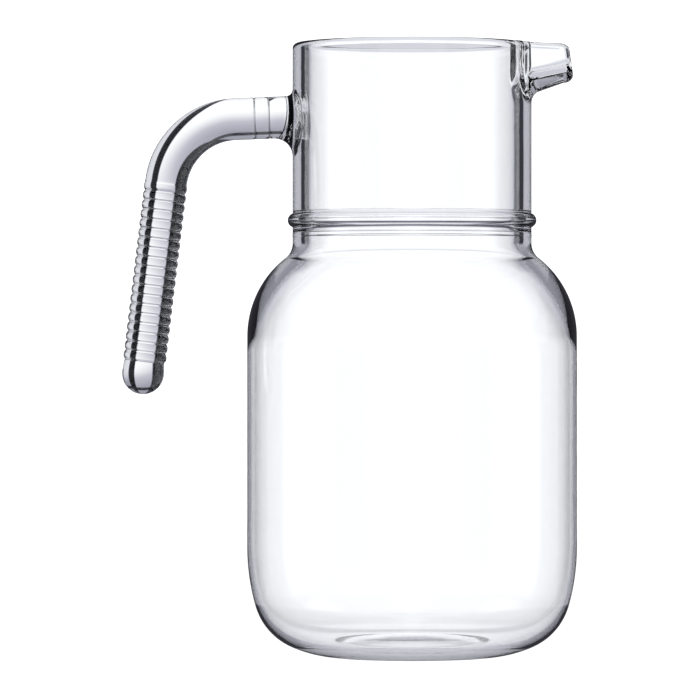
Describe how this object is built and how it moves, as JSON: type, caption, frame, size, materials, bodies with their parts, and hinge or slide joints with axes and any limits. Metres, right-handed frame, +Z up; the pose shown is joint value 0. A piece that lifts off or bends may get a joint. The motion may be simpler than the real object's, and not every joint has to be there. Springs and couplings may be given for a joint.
{
  "type": "water jug",
  "caption": "Clear glass water jug with a straight neck, an open pouring spout level with the rim, a round-shouldered body and a ribbed rod handle open at its lower end.",
  "frame": {"origin": "centre of the resting plane, on the axis of the round body and neck", "axes": "+Z up through the open mouth, +X towards the pouring spout, -X towards the handle, +Y across the jug"},
  "size_m": [0.1723, 0.1248, 0.2324],
  "materials": {
    "clear_glass": "clear, fire-polished"
  },
  "bodies": {
    "root": {"vessel": "clear_glass", "handle_stub": "clear_glass", "handle": "clear_glass"}
  },
  "joints": []
}
